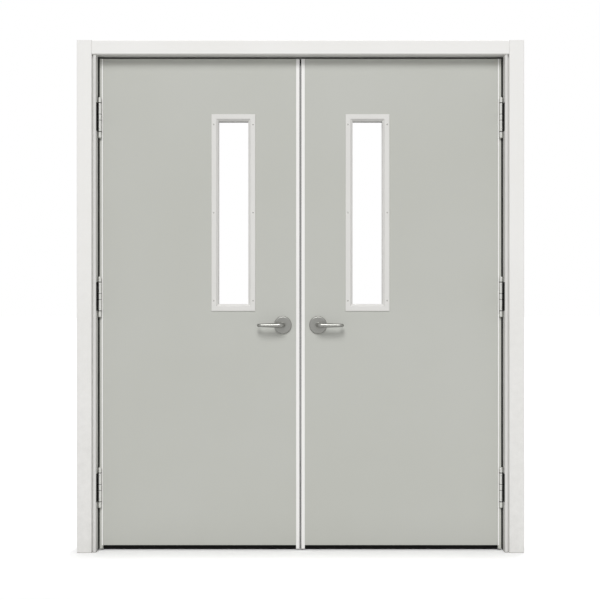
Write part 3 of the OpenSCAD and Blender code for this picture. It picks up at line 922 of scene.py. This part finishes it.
@dataclass
class Window:
    """Slim vision panel: rims on both faces, rim screws, glazing gaskets and the spacer of the unit."""

    finishes: Finishes
    side: Side
    screw_in_mm: float = 9.5
    screw_end_mm: float = 44.0
    screw_r_mm: float = 3.4
    lip_mm: float = 30.0
    pane_mm: float = 5.0
    spacer_inset_mm: float = 4.6
    spacer_bar_mm: float = 2.6
    spacer_edge_mm: float = 4.4
    spacer_ease_mm: float = 0.05

    def build(self, cad: dict[str, bpy.types.Object]) -> None:
        """Dresses the rims and panes and adds the small parts.

        Args:
            cad: CAD nodes by name.
        """
        word = self.side.word
        dress(cad[f"window_glass_{word}"], self.finishes.glass)
        for face, where in ((Face.FRONT, "front"), (Face.REAR, "rear")):
            node = f"window_rim_{where}_{word}"
            dress(cad[node], self.finishes.rim)
            low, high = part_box(node)
            self.screws(low, high, face, where)
            self.gasket(low, high, face, where)
        self.spacer()

    def screws(self, low: Vector, high: Vector, face: Face, where: str) -> None:
        """Three domed socket screws on each upright of the rim."""
        y = low[1] if face is Face.FRONT else high[1]
        verts, faces = socket_screw(self.screw_r_mm * MM, 0.7 * MM, 1.5 * MM, 1.2 * MM)
        verts = aim(verts, (0, face.value, 0), (0, y, 0))
        xs = (low[0] + self.screw_in_mm * MM, high[0] - self.screw_in_mm * MM)
        zs = (low[2] + self.screw_end_mm * MM, (low[2] + high[2]) / 2, high[2] - self.screw_end_mm * MM)
        offsets = np.array([[x, 0, z] for x in xs for z in zs])
        verts, faces = stack_copies(verts, faces, offsets)
        name = f"rim_screws_{where}_{self.side.word}"
        mesh_piece(name, verts, faces, self.finishes.screw, f"leaf_{self.side.word}")

    def gasket(self, low: Vector, high: Vector, face: Face, where: str) -> None:
        """Thin pale wedge gasket between the lip of the rim and the glass."""
        width = (high[0] - low[0]) - 2 * self.lip_mm * MM
        height = (high[2] - low[2]) - 2 * self.lip_mm * MM
        y = high[1] if face is Face.FRONT else low[1]
        centre = ((low[0] + high[0]) / 2, y, (low[2] + high[2]) / 2)
        profile = np.array([[2.0, 0.0], [0.1, 0.0], [0.2, 0.5], [2.0, 0.9]]) * MM
        verts, faces = rect_loop(centre, width, height, profile, face)
        name = f"glazing_gasket_{where}_{self.side.word}"
        body = f"leaf_{self.side.word}"
        outward(mesh_piece(name, verts, faces, self.finishes.bead, body, None))

    def spacer(self) -> None:
        """Spacer bar and black edge seal between the two panes."""
        word = self.side.word
        low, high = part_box(f"window_glass_{word}")
        pane = self.pane_mm * MM
        gap = (high[1] - low[1]) - 2 * pane
        centre = ((low[0] + high[0]) / 2, low[1] + pane, (low[2] + high[2]) / 2)
        inset = self.spacer_inset_mm * MM
        width = (high[0] - low[0]) - 2 * inset
        height = (high[2] - low[2]) - 2 * inset
        ease = self.spacer_ease_mm * MM
        bar, edge = self.spacer_bar_mm * MM, self.spacer_edge_mm * MM
        for label, start, end, finish, slot in (
            ("bar", 0.0, bar, self.finishes.plate, "satin_steel"),
            ("edge", bar, edge, self.finishes.black, "black_rubber"),
        ):
            profile = np.array([[start, ease], [end, ease], [end, gap - ease], [start, gap - ease]])
            verts, faces = rect_loop(centre, width, height, profile * [1, -1], Face.FRONT)
            verts[:, 1] = 2 * centre[1] - verts[:, 1]
            name = f"glass_spacer_{label}_{word}"
            outward(mesh_piece(name, verts, faces, finish, f"leaf_{word}", None))


@dataclass
class Leaf:
    """One leaf: panel, stiles, seals and the latch plate in the meeting stile."""

    finishes: Finishes
    side: Side
    plate_h_mm: float = 235.0
    plate_w_mm: float = 22.0
    plate_t_mm: float = 0.6
    plate_set_mm: float = 17.0
    plate_screw_mm: float = 105.0
    bead_foot_mm: float = 15.0
    bead_from_mm: float = 9.5
    bead_w_mm: float = 5.5
    bead_h_mm: float = 0.9

    def build(self, cad: dict[str, bpy.types.Object]) -> None:
        """Dresses the leaf and adds the plate.

        Args:
            cad: CAD nodes by name.
        """
        word = self.side.word
        dress(cad[f"leaf_panel_{word}"], self.finishes.leaf)
        dress(cad[f"hinge_stile_{word}"], self.finishes.leaf)
        dress(cad[f"meeting_stile_{word}"], self.finishes.stile)
        dress(cad[f"meeting_seal_{word}"], self.finishes.grey)
        dress(cad[f"drop_seal_{word}"], self.finishes.black)
        self.stile_bead()
        self.latch_plate()

    def stile_bead(self) -> None:
        """White bead that covers the joint between hinge stile and panel: a low half-ellipse."""
        low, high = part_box(f"hinge_stile_{self.side.word}")
        inward = -self.side.value
        edge = low[0] if self.side is Side.LEFT else high[0]
        t = np.linspace(0.0, np.pi, 9)
        half = self.bead_w_mm / 2
        across = self.bead_from_mm + half * (1 - np.cos(t))
        proud = np.append(self.bead_h_mm * np.sin(t) ** 0.6, [-0.2, -0.2])
        across = np.append(across, [self.bead_from_mm + 2 * half, self.bead_from_mm])
        loops = []
        for face_y, sign in ((low[1], -1), (high[1], 1)):
            loops.append(np.stack([edge + inward * across * MM, face_y + sign * proud * MM], axis=1))
        spans = [(low[2] + self.bead_foot_mm * MM, high[2])]
        verts, faces = join([uprights(loop, spans) for loop in loops])
        name = f"stile_beads_{self.side.word}"
        body = f"leaf_{self.side.word}"
        outward(mesh_piece(name, verts, faces, self.finishes.stile, body))

    def latch_plate(self) -> None:
        """Thin plate with round ends on the stile edge, with its latch and two screws."""
        word = self.side.word
        low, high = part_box(f"meeting_stile_{word}")
        out = -self.side.value
        x = high[0] if self.side is Side.LEFT else low[0]
        y = high[1] - self.plate_set_mm * MM
        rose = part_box(f"lever_roses_{word}")
        z = (rose[0][2] + rose[1][2]) / 2
        half_w = self.plate_w_mm / 2 * MM
        straight = (self.plate_h_mm / 2) * MM - half_w
        t = np.linspace(0.0, 2 * np.pi, ROUND_STEPS, endpoint=False)
        ring_y = half_w * np.cos(t)
        ring_z = half_w * np.sin(t) + np.sign(np.sin(t) + 1e-9) * straight
        scale = np.array([1.0, 1.0, 0.97, 1e-3])
        depth = np.array([-0.2, self.plate_t_mm * 0.7, self.plate_t_mm, self.plate_t_mm]) * MM
        yy = scale[:, None] * ring_y[None, :]
        zz = scale[:, None] * ring_z[None, :]
        xx = np.repeat(depth[:, None], len(t), axis=1) * out
        verts = np.stack([x + xx, y + yy, z + zz], axis=-1).reshape(-1, 3)
        faces = grid_faces(4, len(t), wrap_cols=True)
        if out < 0:
            faces = faces[:, ::-1]
        body = f"leaf_{word}"
        outward(mesh_piece(f"latch_plate_{word}", verts, faces, self.finishes.plate, body))
        screw, quads = socket_screw(3.6 * MM, 0.3 * MM, 1.5 * MM, 1.2 * MM)
        face_x = x + out * self.plate_t_mm * MM
        screw = aim(screw, (out, 0, 0), (face_x, y, z))
        offsets = np.array([[0, 0, s * self.plate_screw_mm * MM] for s in (-1, 1)])
        screw, quads = stack_copies(screw, quads, offsets)
        mesh_piece(f"latch_plate_screws_{word}", screw, quads, self.finishes.screw, body)


@dataclass
class Lever:
    """Forged lever handle, its square spindle, and the roses with a collar ring round each neck."""

    finishes: Finishes
    side: Side
    collar_r_mm: float = 10.6
    collar_half_mm: float = 1.0
    collar_h_mm: float = 0.5
    rose_t_mm: float = 9.0
    neck_r_mm: float = 8.4
    neck_from_mm: float = 0.5
    neck_even_mm: float = 12.0
    neck_swell_mm: float = 0.9
    elbow_r_mm: float = 10.2
    tip_r_mm: float = 7.1
    elbow_bend_mm: float = 16.0
    tip_bend_mm: float = 12.0
    tip_stub_mm: float = 9.0
    grip_drop_mm: float = 0.7
    spindle_mm: float = 8.0

    def build(self, cad: dict[str, bpy.types.Object]) -> None:
        """Dresses lever and roses and adds the seam rings.

        Args:
            cad: CAD nodes by name.
        """
        word = self.side.word
        dress(cad[f"lever_handle_{word}"], self.finishes.lever)
        dress(cad[f"lever_roses_{word}"], self.finishes.rose)
        self.handle()
        low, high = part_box(f"lever_roses_{word}")
        cx = (low[0] + high[0]) / 2
        cz = (low[2] + high[2]) / 2
        t = np.linspace(0.0, np.pi, 6)
        radius = self.collar_r_mm * MM + self.collar_half_mm * MM * np.cos(t)
        ring, quads = lathe(np.stack([radius, self.collar_h_mm * MM * np.sin(t)], axis=1), ROUND_STEPS)
        faces_y = ((Face.FRONT, low[1]), (Face.REAR, high[1]))
        verts, faces = join([(aim(ring, (0, face.value, 0), (cx, y, cz)), quads) for face, y in faces_y])
        name = f"rose_collar_{word}"
        outward(mesh_piece(name, verts, faces, self.finishes.lever, f"leaf_{word}"))


    def centre_line(self, reach: float, proud: float) -> tuple[np.ndarray, np.ndarray, np.ndarray]:
        """Centre line of one lever in its own plane, with the radius at each point.

        It runs out of the rose, round a quarter circle, along the grip and round a smaller quarter
        circle back towards the leaf. The front of the bar stays straight while it gets slimmer.

        Args:
            reach: distance from the lever axis to the outermost point, in mm.
            proud: distance from the skin to the front of the bar, in mm.

        Returns:
            N x 2 points of distance along the grip and out from the skin, N radii and N drops.
        """
        quarter = np.linspace(0.0, np.pi / 2, BEND_STEPS)
        bend, tip = self.elbow_bend_mm, self.tip_bend_mm
        axis = proud - self.elbow_r_mm
        neck = np.stack([np.zeros(10), np.linspace(self.neck_from_mm, axis - bend, 10)], axis=1)
        elbow = np.stack([bend - bend * np.cos(quarter), axis - bend + bend * np.sin(quarter)], axis=1)
        end = reach - self.tip_r_mm
        along = np.linspace(bend, end - tip, GRIP_STEPS)
        slim = np.interp(along, [bend, end - tip], [self.elbow_r_mm, self.tip_r_mm])
        grip = np.stack([along, proud - slim], axis=1)
        low = proud - self.tip_r_mm - tip
        turn = np.stack([end - tip + tip * np.sin(quarter), low + tip * np.cos(quarter)], axis=1)
        stub_out = low - np.array(TIP_PLACES) * self.tip_stub_mm
        stub = np.stack([np.full(len(stub_out), end), stub_out], axis=1)
        points = np.concatenate([neck, elbow[1:], grip[1:], turn[1:], stub])
        swollen = self.neck_r_mm + self.neck_swell_mm
        grow = np.interp(neck[:, 1], [self.neck_even_mm, axis - bend], [self.neck_r_mm, swollen])
        swell = np.interp(quarter[1:], [0.0, 1.0], [swollen, self.elbow_r_mm])
        tail = self.tip_r_mm * np.array(TIP_SHARES)
        radii = np.concatenate([grow, swell, slim[1:], np.full(len(turn) - 1, self.tip_r_mm), tail])
        radii[0] = 1e-4
        points[1, 1] = points[0, 1]
        drop = self.grip_drop_mm * np.clip(points[:, 0] / (2 * bend), 0.0, 1.0)
        return points, radii, drop

    def handle(self) -> None:
        """Both levers of the leaf with their spindle; a circle is carried along each centre line."""
        word = self.side.word
        node = f"lever_handle_{word}"
        low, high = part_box(node)
        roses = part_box(f"lever_roses_{word}")
        cx = (roses[0][0] + roses[1][0]) / 2
        cz = (roses[0][2] + roses[1][2]) / 2
        reach = (cx - low[0] if self.side is Side.LEFT else high[0] - cx) / MM
        angle = np.linspace(0.0, 2 * np.pi, 32, endpoint=False)
        parts = []
        skins = (roses[0][1] + self.rose_t_mm * MM, roses[1][1] - self.rose_t_mm * MM)
        for face, skin, far in ((Face.FRONT, skins[0], low[1]), (Face.REAR, skins[1], high[1])):
            points, radii, drop = self.centre_line(reach, abs(far - skin) / MM)
            ahead = np.gradient(points, axis=0)
            ahead = ahead / np.maximum(np.linalg.norm(ahead, axis=1, keepdims=True), 1e-9)
            side = radii[:, None] * np.sin(angle)[None, :]
            along = points[:, :1] - ahead[:, 1:] * side
            out = points[:, 1:] + ahead[:, :1] * side
            up = radii[:, None] * np.cos(angle)[None, :] - drop[:, None]
            x = cx + self.side.value * along * MM
            y = skin + face.value * out * MM
            verts = np.stack([x, y, cz + up * MM], axis=-1).reshape(-1, 3)
            parts.append((verts, grid_faces(len(points), len(angle), wrap_cols=True)))
        half = self.spindle_mm / 2 * MM
        square = np.array([[-half, -half], [half, -half], [half, half], [-half, half]])
        ends = [np.column_stack([cx + square[:, 0], np.full(4, y), cz + square[:, 1]]) for y in skins]
        walls = [[i, (i + 1) % 4, (i + 1) % 4 + 4, i + 4] for i in range(4)]
        parts.append((np.concatenate(ends), walls + [[3, 2, 1, 0], [4, 5, 6, 7]]))
        verts, faces = join(parts)
        name = f"forged_lever_{word}"
        piece = mesh_piece(name, verts, faces, self.finishes.lever, f"lever_{word}")
        outward(piece)
        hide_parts(node)


@dataclass
class Studio:
    """Pale floor, white surround, soft lamps and the camera of the photo."""

    key_strength: float = 2.00
    key_height_deg: float = 39.0
    key_side_deg: float = -4.0
    fill_strength: float = 0.7
    fill_height_deg: float = 40.0
    fill_side_deg: float = 160.0
    softness_deg: float = 26.0
    top_strength: float = 0.72
    top_height_deg: float = 88.0
    top_side_deg: float = 180.0
    top_softness_deg: float = 4.0
    world_level: float = 0.26
    floor_seen: float = 1.08

    def build(self) -> None:
        """Builds floor, world, lamps and camera."""
        self.floor()
        self.world()
        self.lamps()
        self.camera()

    @staticmethod
    def seen(tree: bpy.types.NodeTree) -> bpy.types.NodeSocket:
        """One for camera, glossy and transmission rays, nought for light.

        Args:
            tree: node tree.

        Returns:
            Socket of the sum, clamped to one.
        """
        path = add_node(tree, "ShaderNodeLightPath")
        total = path.outputs["Is Camera Ray"]
        for name in ("Is Glossy Ray", "Is Transmission Ray"):
            total = add_node(
                tree, "ShaderNodeMath", {"operation": "ADD", "use_clamp": True},
                links={0: total, 1: path.outputs[name]},
            ).outputs["Value"]
        return total

    def floor(self) -> None:
        """Pale floor that reads as white to the camera and keeps a soft shadow."""
        size = 60.0
        verts = np.array([[-1, -1, 0], [1, -1, 0], [1, 1, 0], [-1, 1, 0]]) * size
        mesh = bpy.data.meshes.new("studio_floor")
        mesh.from_pydata(verts.tolist(), [], [[0, 1, 2, 3]])
        floor = bpy.data.objects.new("studio_floor", mesh)
        bpy.context.collection.objects.link(floor)
        material, tree, out = new_tree("pale_studio_floor")
        level = self.floor_seen
        tone = add_node(
            tree, "ShaderNodeMix", {"data_type": "RGBA", "clamp_factor": True},
            {"A": linear("#CDCDCC"), "B": (level, level, level, 1.0)}, {"Factor": self.seen(tree)},
        )
        diffuse = add_node(tree, "ShaderNodeBsdfDiffuse", links={"Color": tone.outputs["Result"]})
        tree.links.new(diffuse.outputs["BSDF"], out.inputs["Surface"])
        mesh.materials.append(material)

    def world(self) -> None:
        """White surround: full white to the camera and in reflections, softer as light."""
        world = bpy.data.worlds.new("white_surround")
        bpy.context.scene.world = world
        world.use_nodes = True
        tree = world.node_tree
        tree.nodes.clear()
        out = add_node(tree, "ShaderNodeOutputWorld")
        level = add_node(
            tree, "ShaderNodeMapRange", values={"To Min": self.world_level, "To Max": 1.0},
            links={"Value": self.seen(tree)},
        )
        shade = add_node(
            tree, "ShaderNodeBackground", values={"Color": (1, 1, 1, 1)},
            links={"Strength": level.outputs["Result"]},
        )
        tree.links.new(shade.outputs["Background"], out.inputs["Surface"])

    def lamps(self) -> None:
        """A broad soft key in front, a weaker one behind and one overhead for the contact shadow."""
        soft = self.softness_deg
        for name, strength, height, side, spread in (
            ("front_lamp", self.key_strength, self.key_height_deg, self.key_side_deg, soft),
            ("rear_lamp", self.fill_strength, self.fill_height_deg, self.fill_side_deg, soft),
            ("top_lamp", self.top_strength, self.top_height_deg, self.top_side_deg, self.top_softness_deg),
        ):
            rise = math.radians(height)
            turn = math.radians(side)
            to_lamp = Vector(
                (math.cos(rise) * math.sin(turn), -math.cos(rise) * math.cos(turn), math.sin(rise))
            )
            lamp = bpy.data.lights.new(name, "SUN")
            lamp.energy = strength
            lamp.angle = math.radians(spread)
            holder = bpy.data.objects.new(name, lamp)
            holder.rotation_euler = (-to_lamp).to_track_quat("-Z", "Y").to_euler()
            bpy.context.collection.objects.link(holder)

    def camera(self) -> None:
        """Level camera in front of the door, placed from the scale of the photo."""
        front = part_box("casing_front_left")[0][1]
        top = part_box("casing_front_left")[1][2]
        lens = bpy.data.cameras.new("photo_camera")
        lens.sensor_width = SENSOR_MM
        lens.sensor_fit = "HORIZONTAL"
        lens.lens = SENSOR_MM * CAMERA_BACK / (IMAGE_PX * MM_PER_PX * MM)
        lens.clip_end = 200.0
        camera = bpy.data.objects.new("photo_camera", lens)
        x = centre_x() - (DOOR_MID_PX - IMAGE_PX / 2) * MM_PER_PX * MM
        z = top - (IMAGE_PX / 2 - DOOR_TOP_PX) * MM_PER_PX * MM
        camera.location = (x, front - CAMERA_BACK, z)
        camera.rotation_euler = (math.pi / 2, 0.0, 0.0)
        bpy.context.collection.objects.link(camera)
        bpy.context.scene.camera = camera


def main() -> None:
    """Builds the looks of the door and the studio round it."""
    logging.basicConfig(level=logging.INFO, format="%(message)s")
    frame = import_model()
    cad = frame["nodes"]
    bpy.context.scene.view_settings.view_transform = "Standard"
    finishes = Finishes()
    SteelFrame(finishes).build(cad)
    for side in Side:
        Leaf(finishes, side).build(cad)
        Window(finishes, side).build(cad)
        Lever(finishes, side).build(cad)
        for level in LEVELS:
            Hinge(finishes, side, level).build(cad)
    Studio().build()


if __name__ == "__main__":
    main()
